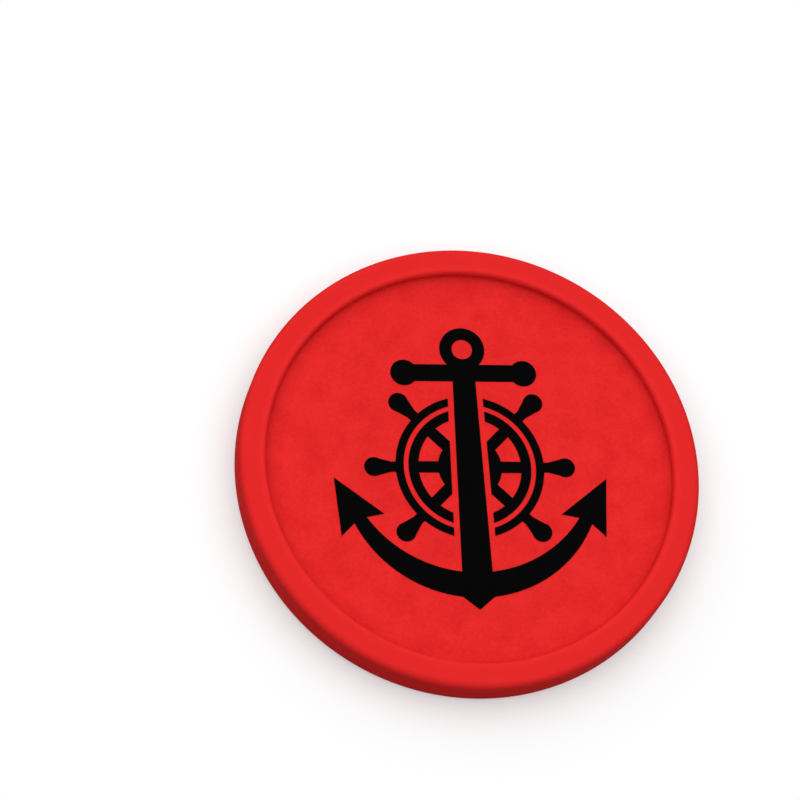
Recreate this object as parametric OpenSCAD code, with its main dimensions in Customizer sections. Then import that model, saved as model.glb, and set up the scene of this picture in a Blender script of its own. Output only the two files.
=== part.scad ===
// Drink chip: a round moulded plastic token with a raised rim and a recessed field on each
// face, and a black printed emblem, an anchor in front of a ship's wheel, on the upper face.
// It lies flat: +Z is the chip's axis, the origin is the centre of its underside and +Y is
// the emblem's upright direction. All sizes are in millimetres.

/* [Chip] */
// Diameter over the outer edge
chip_d = 38.1; // [34:0.1:42]
// Thickness over the two rims
chip_t = 3.2; // [2.8:0.1:4]
// Radius on the two outer edges
edge_r = 0.55; // [0.2:0.05:0.8]

/* [Rim and recess] */
// Width of the rim, from the outer edge to the wall of the recess
rim_w = 2.25; // [1.8:0.05:3]
// Radius where the rim turns down into the recess
rim_lip_r = 0.4; // [0.1:0.05:0.4]
// Depth of the recess in each face
recess_depth = 0.8; // [0.7:0.05:1.1]
// Radius of the cove between the recess wall and the field
cove_r = 0.25; // [0.1:0.05:0.3]

/* [Print] */
// Height of the printed emblem
emblem_h = 24.4; // [16:0.2:26]
// Thickness of the ink film
ink_t = 0.05; // [0.03:0.01:0.1]
// Width of the bare line between the anchor and the wheel behind it
stencil_gap = 0.5; // [0.3:0.05:0.8]

/* [Hidden] */
$fn = 96;
plastic_red = "#E62929";
ink_black = "#0B0B0C";
// Overlap that lets one shape cut cleanly through another
cut = 1;

// Chip profile
chip_r = chip_d / 2;
wall_r = chip_r - rim_w;
field_r = wall_r - cove_r;
field_z = chip_t - recess_depth;

// The emblem is drawn 24 units high, from the anchor's ring to its crown, and then scaled
emblem_units = 24;
emblem_scale = emblem_h / emblem_units;
gap = stencil_gap / emblem_scale;

// Anchor, in emblem units, with the middle of its height at the origin
ring_r = 1.85;
ring_hole_r = 0.85;
ring_y = emblem_units / 2 - ring_r;
stock_y = 8.1;
stock_w = 9.8;
stock_h = 1.45;
stock_knob_r = 1.1;
crown_y = -emblem_units / 2;
crown_w = 3.6;
crown_h = 1.5;
crown_drop = 1;
// The arms are a crescent: what an outer circle has outside an inner one, up to the flukes.
// The crown's point drops below them
arm_foot_y = crown_y + crown_drop;
arm_foot_w = 2.1;
arm_outer_r = 10.6;
arm_outer_y = arm_foot_y + arm_outer_r;
arm_inner_r = 10.4;
arm_inner_y = arm_foot_y + arm_foot_w + arm_inner_r;
// The shank runs from the ring's band down into the arms
shank_top_y = ring_y - (ring_r + ring_hole_r) / 2;
shank_foot_y = arm_foot_y + arm_foot_w / 2;
shank_foot_w = 2.5;
shank_top_w = 1.8;
// The flukes sit on the middle of the arms and point along them
fluke_y = -4.4;
fluke_len = 3.9;
fluke_w = 4;
fluke_barb = 0.6;
arm_mid_y = (arm_outer_y + arm_inner_y) / 2;
arm_mid_r = (arm_outer_r + arm_inner_r) / 2;
fluke_angle = asin((fluke_y - arm_mid_y) / arm_mid_r);

// Ship's wheel, in emblem units
handles = 8;
hub_r = 2.6;
spoke_w = 0.95;
felloe_inner_r = 4.2;
felloe_outer_r = 6.05;
groove_r = 5.2;
groove_w = 0.4;
handle_tip_r = 8.6;
handle_neck_w = 0.85;
handle_neck_len = 0.7;
handle_grip_r = 0.8;

// Half of the chip's section without its recesses, with the chip's axis at x = 0
module edge_profile() {
    square([chip_r - edge_r, chip_t]);
    translate([0, edge_r]) square([chip_r, chip_t - 2 * edge_r]);
    for (z = [edge_r, chip_t - edge_r])
        translate([chip_r - edge_r, z]) circle(edge_r);
}

// Half of the section of the recess in the upper face: field, cove, wall and rounded lip
module recess_profile() {
    translate([0, field_z]) square([field_r, recess_depth + cut]);
    translate([0, field_z + cove_r]) square([wall_r, recess_depth - cove_r + cut]);
    translate([field_r, field_z + cove_r]) circle(cove_r);
    difference() {
        translate([wall_r - cut, chip_t - rim_lip_r]) square([rim_lip_r + cut, rim_lip_r + cut]);
        translate([wall_r + rim_lip_r, chip_t - rim_lip_r]) circle(rim_lip_r);
    }
}

module chip_body() {
    color(plastic_red) rotate_extrude() difference() {
        edge_profile();
        recess_profile();
        translate([0, chip_t]) mirror([0, 1]) recess_profile();
    }
}

// Lays a flat drawing in emblem units on the upper field as an ink film
module ink() {
    color(ink_black) translate([0, 0, field_z]) linear_extrude(ink_t) scale(emblem_scale) children();
}

// The anchor's shank, wider by a margin on each side
module shank(margin = 0) {
    foot = shank_foot_w / 2 + margin;
    top = shank_top_w / 2 + margin;
    polygon([[-foot, shank_foot_y], [foot, shank_foot_y], [top, shank_top_y], [-top, shank_top_y]]);
}

module band(inner_r, outer_r) {
    difference() {
        circle(outer_r);
        circle(inner_r);
    }
}

module anchor_ring() {
    translate([0, ring_y]) band(ring_hole_r, ring_r);
}

module stock() {
    translate([-stock_w / 2, stock_y - stock_h / 2]) square([stock_w, stock_h]);
    for (side = [-1, 1])
        translate([side * stock_w / 2, stock_y]) circle(stock_knob_r);
}

module arms() {
    difference() {
        translate([0, arm_outer_y]) circle(arm_outer_r);
        translate([0, arm_inner_y]) circle(arm_inner_r);
        translate([-emblem_units, fluke_y + fluke_barb]) square([2 * emblem_units, emblem_units]);
    }
    polygon([[-crown_w / 2, crown_y + crown_h], [0, crown_y], [crown_w / 2, crown_y + crown_h]]);
}

// One arrow-headed fluke at the end of the right arm, side = 1, or of the left arm, side = -1
module fluke(side) {
    translate([0, arm_mid_y]) rotate(90 - side * (90 - fluke_angle)) translate([arm_mid_r, 0])
        rotate(90 - side * 90)
            polygon([[0, 0], [fluke_w / 2, -fluke_barb], [0, fluke_len], [-fluke_w / 2, -fluke_barb]]);
}

module anchor_print() {
    ink() {
        anchor_ring();
        shank();
        stock();
        arms();
        for (side = [-1, 1])
            fluke(side);
    }
}

// One spoke with its turned handle, along +X from the hub
module spoke() {
    neck_end = felloe_outer_r + handle_neck_len;
    grip_x = handle_tip_r - handle_grip_r;
    translate([0, -spoke_w / 2]) square([felloe_outer_r, spoke_w]);
    translate([felloe_inner_r, -handle_neck_w / 2]) square([neck_end - felloe_inner_r, handle_neck_w]);
    polygon([
        [neck_end - handle_neck_len / 2, -handle_neck_w / 2],
        [grip_x, -handle_grip_r],
        [grip_x, handle_grip_r],
        [neck_end - handle_neck_len / 2, handle_neck_w / 2]
    ]);
    translate([grip_x, 0]) circle(handle_grip_r);
}

module wheel() {
    circle(hub_r);
    difference() {
        union() {
            band(felloe_inner_r, felloe_outer_r);
            for (i = [0 : handles - 1])
                rotate(i * 360 / handles) spoke();
        }
        band(groove_r - groove_w / 2, groove_r + groove_w / 2);
    }
}

module wheel_print() {
    ink() difference() {
        wheel();
        shank(gap);
    }
}

chip_body();
wheel_print();
anchor_print();
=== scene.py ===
import math

import bmesh
import bpy
from mathutils import Matrix, Vector


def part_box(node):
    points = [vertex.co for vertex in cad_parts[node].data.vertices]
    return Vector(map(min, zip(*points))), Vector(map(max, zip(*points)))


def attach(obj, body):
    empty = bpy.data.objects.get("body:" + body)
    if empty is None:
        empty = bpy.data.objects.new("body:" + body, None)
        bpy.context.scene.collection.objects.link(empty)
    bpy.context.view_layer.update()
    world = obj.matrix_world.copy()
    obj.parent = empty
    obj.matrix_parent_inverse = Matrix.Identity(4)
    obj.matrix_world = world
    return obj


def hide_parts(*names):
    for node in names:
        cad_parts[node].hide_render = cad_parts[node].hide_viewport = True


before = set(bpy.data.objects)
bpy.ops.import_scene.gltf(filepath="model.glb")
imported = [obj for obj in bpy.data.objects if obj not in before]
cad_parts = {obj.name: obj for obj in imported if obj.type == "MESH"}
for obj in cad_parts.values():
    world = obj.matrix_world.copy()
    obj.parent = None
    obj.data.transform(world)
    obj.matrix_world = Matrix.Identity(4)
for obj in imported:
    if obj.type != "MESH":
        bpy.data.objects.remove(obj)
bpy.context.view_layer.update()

MM = 0.001

# Chip: its outside sizes and the height of its field come from the frame
CHIP_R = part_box("chip_body")[1].x
CHIP_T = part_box("chip_body")[1].z
FIELD_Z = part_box("anchor_print")[0].z
RECESS = CHIP_T - FIELD_Z
RIM_WIDTH = 2.25 * MM
WALL_R = CHIP_R - RIM_WIDTH
EDGE_ROUND = 0.55 * MM
LIP_ROUND = 0.4 * MM
COVE_ROUND = 0.25 * MM

# How finely the chip is turned and rounded, and how far off a point may be and still count
TURN_STEPS = 256
ROUND_STEPS = 8
SAME_POINT = 0.001 * MM
ON_CORNER = 0.01 * MM

# Moulded grain: really about 0.1 mm wide, and drawn coarser so that it shows
GRAIN_WIDTH = 0.25 * MM

# Plastic: grain and wider patches are mixed to a speckle between two reds
DEEP_RED = "#D82323"
BRIGHT_RED = "#E52A2A"
DEEP_ROUGHNESS = 0.75
BRIGHT_ROUGHNESS = 0.65
PATCH_WIDTH = 2 * MM
PATCH_SHARE = 0.6
# Most values of the mixed noise lie in this range
NOISE_LOW = 0.35
NOISE_HIGH = 0.65
EVEN_SPECKLE = 0.5
GRAIN_DEPTH = 0.02 * MM
# What wear leaves of the texture on the rims, and where on the lip a painted highlight turns the red
# lighter
RIM_TEXTURE = 0.32
LIP_HIGHLIGHT_RED = "#E6292A"
LIP_HIGHLIGHT_FULL_R = WALL_R + 0.25 * MM
LIP_HIGHLIGHT_END_R = WALL_R + 0.85 * MM
# Painted shade on the field, from this far off the wall
PAINTED_SHADE_RED = "#9A1213"
PAINTED_SHADE_WIDTH = 1.8 * MM
PAINTED_SHADE_SHARE = 0.15

# Ink: clouds of denser and thinner film, and what it shows of the grain below
DENSE_BLACK = "#010101"
THIN_BLACK = "#050505"
DENSE_ROUGHNESS = 0.5
THIN_ROUGHNESS = 0.7
CLOUD_WIDTH = 0.8 * MM
INK_GRAIN_DEPTH = 0.03 * MM
INK_TEXTURE = 0.5

# Table: its grey lights the chip, and it turns from part white beside the chip to all white
TABLE_REACH = 60 * CHIP_R
TABLE_DROP = 0.005 * MM
TABLE_SEEN = "#FAFAFA"
TABLE_BOUNCE = "#A8A8A8"
TABLE_WHITE_R = 1.7 * CHIP_R
TABLE_WHITE_SHARE = 0.3

# Where the photograph was taken from: the chip is seen from its lower left, and the picture's
# upright lies a little clockwise of the emblem's
PICTURE_PX = 800
FOCAL_PX = 4000
SENSOR_MM = 36
NEAREST_SEEN = 10 * MM
CAMERA_FROM = Vector((-66.5, -112.2, 300.2)) * MM
CAMERA_AIM = Vector((-5.6, 5.5, 3.2)) * MM
PICTURE_UP_DEG = 3.5


def linear(hex_colour):
    """An sRGB hex colour as linear RGBA."""
    channels = [int(hex_colour[i : i + 2], 16) / 255 for i in (1, 3, 5)]
    return [c / 12.92 if c <= 0.04045 else ((c + 0.055) / 1.055) ** 2.4 for c in channels] + [1]


def add(tree, kind, inputs=None, output=None, **settings):
    """Adds a node, sets its properties, sets or links its inputs and returns one of its outputs,
    by name or else the first that it offers."""
    node = tree.nodes.new("ShaderNode" + kind)
    for name, setting in settings.items():
        setattr(node, name, setting)
    for name, value in (inputs or {}).items():
        if isinstance(value, bpy.types.NodeSocket):
            tree.links.new(value, node.inputs[name])
        else:
            node.inputs[name].default_value = value
    if output:
        return node.outputs[output]
    return next((socket for socket in node.outputs if socket.enabled), None)


def new_material(name):
    """An empty node material and its tree."""
    material = bpy.data.materials.new(name)
    material.use_nodes = True
    material.node_tree.nodes.clear()
    return material, material.node_tree


def grain_of_the_mould(tree, place):
    """The fine spark-eroded texture that the mould leaves on the plastic."""
    return add(tree, "TexNoise", {"Vector": place, "Scale": 1 / GRAIN_WIDTH, "Detail": 2})


def moulded_red_plastic():
    """Injection-moulded ABS, red right through. The mould's grain gives the recessed fields a fine
    speckle. Wear has rubbed the rims smoother. A painted highlight turns their lips a little
    lighter, and painted shade darkens the field at the foot of each recess wall."""
    material, tree = new_material("moulded_red_abs")
    place = add(tree, "TexCoord", output="Object")
    flat = add(tree, "VectorMath", {0: place, 1: (1, 1, 0)}, operation="MULTIPLY")
    radius = add(tree, "VectorMath", {0: flat}, operation="LENGTH")
    # Rings round the chip's axis, each from the radius where it starts to where it is full
    in_recess, shade_by_wall, past_wall, short_of_rim = [
        add(
            tree,
            "MapRange",
            {"Value": radius, "From Min": start, "From Max": full},
            interpolation_type="SMOOTHSTEP",
        )
        for start, full in (
            (WALL_R + LIP_ROUND, WALL_R),
            (WALL_R - PAINTED_SHADE_WIDTH, WALL_R - COVE_ROUND),
            (WALL_R, LIP_HIGHLIGHT_FULL_R),
            (LIP_HIGHLIGHT_END_R, LIP_HIGHLIGHT_FULL_R),
        )
    ]
    texture = add(tree, "MapRange", {"Value": in_recess, "To Min": RIM_TEXTURE, "To Max": 1})
    grain = grain_of_the_mould(tree, place)
    patches = add(tree, "TexNoise", {"Vector": place, "Scale": 1 / PATCH_WIDTH, "Detail": 4})
    noise = add(tree, "Mix", {"Factor": PATCH_SHARE, "A": grain, "B": patches})
    speckle = add(tree, "MapRange", {"Value": noise, "From Min": NOISE_LOW, "From Max": NOISE_HIGH})
    speckle = add(tree, "Mix", {"Factor": texture, "A": EVEN_SPECKLE, "B": speckle})
    red = add(
        tree,
        "Mix",
        {"Factor": speckle, "A": linear(DEEP_RED), "B": linear(BRIGHT_RED)},
        data_type="RGBA",
    )
    # Painted highlight: the rim's inner lip is turned a lighter red
    lip_highlight = add(tree, "Math", {0: past_wall, 1: short_of_rim}, operation="MULTIPLY")
    red = add(tree, "Mix", {"Factor": lip_highlight, "A": red, "B": linear(LIP_HIGHLIGHT_RED)}, data_type="RGBA")
    # Painted shade: the field is darkened towards the foot of each recess wall
    painted_shade = add(tree, "Math", {0: in_recess, 1: shade_by_wall}, operation="MULTIPLY")
    painted_shade = add(tree, "Math", {0: painted_shade, 1: PAINTED_SHADE_SHARE}, operation="MULTIPLY")
    red = add(tree, "Mix", {"Factor": painted_shade, "A": red, "B": linear(PAINTED_SHADE_RED)}, data_type="RGBA")
    roughness = add(
        tree,
        "MapRange",
        {"Value": speckle, "To Min": DEEP_ROUGHNESS, "To Max": BRIGHT_ROUGHNESS},
    )
    relief = add(tree, "Bump", {"Height": grain, "Strength": texture, "Distance": GRAIN_DEPTH})
    surface = add(
        tree,
        "BsdfPrincipled",
        {
            "Base Color": red,
            "Roughness": roughness,
            "IOR": 1.54,
            # The fine grain shows no white sheen, so hardly any is left
            "Specular IOR Level": 0.015,
            "Normal": relief,
        },
    )
    add(tree, "OutputMaterial", {"Surface": surface})
    return material


def black_print_ink():
    """Opaque printing ink: a thin dense black film that dries satin and follows the grain below."""
    material, tree = new_material("black_print_ink")
    place = add(tree, "TexCoord", output="Object")
    clouds = add(tree, "TexNoise", {"Vector": place, "Scale": 1 / CLOUD_WIDTH, "Detail": 4})
    black = add(
        tree,
        "Mix",
        {"Factor": clouds, "A": linear(DENSE_BLACK), "B": linear(THIN_BLACK)},
        data_type="RGBA",
    )
    roughness = add(
        tree,
        "MapRange",
        {"Value": clouds, "To Min": DENSE_ROUGHNESS, "To Max": THIN_ROUGHNESS},
    )
    grain = grain_of_the_mould(tree, place)
    relief = add(tree, "Bump", {"Height": grain, "Strength": INK_TEXTURE, "Distance": INK_GRAIN_DEPTH})
    surface = add(
        tree,
        "BsdfPrincipled",
        {
            "Base Color": black,
            "Roughness": roughness,
            "IOR": 1.46,
            # The film stays black where it faces the light, so hardly any sheen is left
            "Specular IOR Level": 0.01,
            "Normal": relief,
        },
    )
    add(tree, "OutputMaterial", {"Surface": surface})
    return material


def shows_background(tree):
    """1 for the rays that show the background: from the camera, in reflections, through glass."""
    seen = add(tree, "LightPath", output="Is Camera Ray")
    for kind in ("Is Glossy Ray", "Is Transmission Ray"):
        seen = add(tree, "Math", {0: seen, 1: add(tree, "LightPath", output=kind)}, operation="MAXIMUM")
    return seen


def white_table():
    """Matt laminate that looks white and keeps the chip's shadow. Away from the chip it fades to
    plain white, and the light that it throws back is that of a mid grey, so the chip's lower edge
    stays in shade."""
    material, tree = new_material("white_table")
    place = add(tree, "TexCoord", output="Object")
    seen = shows_background(tree)
    distance = add(tree, "VectorMath", {0: place}, operation="LENGTH")
    fade = add(
        tree,
        "MapRange",
        {
            "Value": distance,
            "From Min": CHIP_R,
            "From Max": TABLE_WHITE_R,
            "To Min": TABLE_WHITE_SHARE,
        },
        interpolation_type="SMOOTHSTEP",
    )
    lift = add(tree, "Math", {0: fade, 1: seen}, operation="MULTIPLY")
    shade = add(
        tree,
        "Mix",
        {"Factor": seen, "A": linear(TABLE_BOUNCE), "B": linear(TABLE_SEEN)},
        data_type="RGBA",
    )
    laminate = add(tree, "BsdfDiffuse", {"Color": shade})
    white = add(tree, "Emission", {"Strength": 1})
    surface = add(tree, "MixShader", {0: lift, 1: laminate, 2: white})
    add(tree, "OutputMaterial", {"Surface": surface})
    return material


def new_object(name, bm):
    """An object at the origin with the mesh that was made."""
    mesh = bpy.data.meshes.new(name)
    bm.to_mesh(mesh)
    bm.free()
    piece = bpy.data.objects.new(name, mesh)
    bpy.context.collection.objects.link(piece)
    return piece


def turn_chip():
    """The chip's section with sharp corners, turned round its axis, and then each corner rounded."""
    section = [
        (0, RECESS),
        (WALL_R, RECESS),
        (WALL_R, 0),
        (CHIP_R, 0),
        (CHIP_R, CHIP_T),
        (WALL_R, CHIP_T),
        (WALL_R, FIELD_Z),
        (0, FIELD_Z),
    ]
    bm = bmesh.new()
    points = [bm.verts.new((r, 0, z)) for r, z in section]
    for start, end in zip(points, points[1:]):
        bm.edges.new((start, end))
    bmesh.ops.spin(
        bm,
        geom=bm.verts[:] + bm.edges[:],
        cent=(0, 0, 0),
        axis=(0, 0, 1),
        angle=2 * math.pi,
        steps=TURN_STEPS,
        use_merge=True,
    )
    bmesh.ops.remove_doubles(bm, verts=bm.verts, dist=SAME_POINT)
    bmesh.ops.recalc_face_normals(bm, faces=bm.faces)
    for radius, height, rounding in (
        (CHIP_R, 0, EDGE_ROUND),
        (CHIP_R, CHIP_T, EDGE_ROUND),
        (WALL_R, 0, LIP_ROUND),
        (WALL_R, CHIP_T, LIP_ROUND),
        (WALL_R, RECESS, COVE_ROUND),
        (WALL_R, FIELD_Z, COVE_ROUND),
    ):
        corner = [
            edge
            for edge in bm.edges
            if all(abs(v.co.z - height) < ON_CORNER for v in edge.verts)
            and all(abs(v.co.xy.length - radius) < ON_CORNER for v in edge.verts)
        ]
        bmesh.ops.bevel(
            bm,
            geom=corner,
            offset=rounding,
            segments=ROUND_STEPS,
            profile=0.5,
            affect="EDGES",
            material=-1,
        )
    for face in bm.faces:
        face.smooth = True
    chip = new_object("moulded_chip", bm)
    # The largest faces lead, so that the shading of the roundings doesn't spill on to the flats
    even = chip.modifiers.new("flat faces stay flat", "WEIGHTED_NORMAL")
    even.weight = 100
    return chip


def lay_table():
    """A table top much larger than the chip, just under it."""
    bm = bmesh.new()
    bmesh.ops.create_grid(bm, size=TABLE_REACH)
    bmesh.ops.translate(bm, verts=bm.verts, vec=(0, 0, -TABLE_DROP))
    return new_object("table", bm)


def softbox(name, toward, distance, size, watts):
    """A square soft light that faces the chip from a direction, with sizes in metres."""
    lamp = bpy.data.lights.new(name, "AREA")
    lamp.shape = "SQUARE"
    lamp.size = size
    lamp.energy = watts
    light = bpy.data.objects.new(name, lamp)
    bpy.context.collection.objects.link(light)
    direction = Vector(toward).normalized()
    light.location = direction * distance
    light.rotation_euler = direction.to_track_quat("Z", "Y").to_euler()


def light_room(ambient):
    """A plain room: white where it is seen, and dim as a source of light."""
    world = bpy.data.worlds.new("room")
    bpy.context.scene.world = world
    world.use_nodes = True
    tree = world.node_tree
    tree.nodes.clear()
    strength = add(tree, "MapRange", {"Value": shows_background(tree), "To Min": ambient, "To Max": 1})
    air = add(tree, "Background", {"Color": linear("#FFFFFF"), "Strength": strength})
    add(tree, "OutputWorld", {"Surface": air})


def aim_camera():
    """The photograph's viewpoint, with the picture's upright along a direction on the chip's face."""
    data = bpy.data.cameras.new("camera")
    data.sensor_width = SENSOR_MM
    data.lens = FOCAL_PX * SENSOR_MM / PICTURE_PX
    data.clip_start = NEAREST_SEEN
    camera = bpy.data.objects.new("camera", data)
    bpy.context.collection.objects.link(camera)
    turn = math.radians(PICTURE_UP_DEG)
    upright = Vector((math.sin(turn), math.cos(turn), 0))
    back = (CAMERA_FROM - CAMERA_AIM).normalized()
    right = upright.cross(back).normalized()
    axes = Matrix((right, back.cross(right), back)).transposed()
    camera.matrix_world = Matrix.Translation(CAMERA_FROM) @ axes.to_4x4()
    bpy.context.scene.camera = camera


chip = turn_chip()
chip.data.materials.append(moulded_red_plastic())
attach(chip, "root")
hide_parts("chip_body")

ink = black_print_ink()
for name in ("wheel_print", "anchor_print"):
    for material_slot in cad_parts[name].material_slots:
        material_slot.material = ink

table = lay_table()
table.data.materials.append(white_table())

softbox("key", toward=(-0.05, 0.24, 0.97), distance=0.6, size=1.8, watts=14.4)
light_room(ambient=0.05)
aim_camera()
bpy.context.scene.view_settings.view_transform = "Standard"
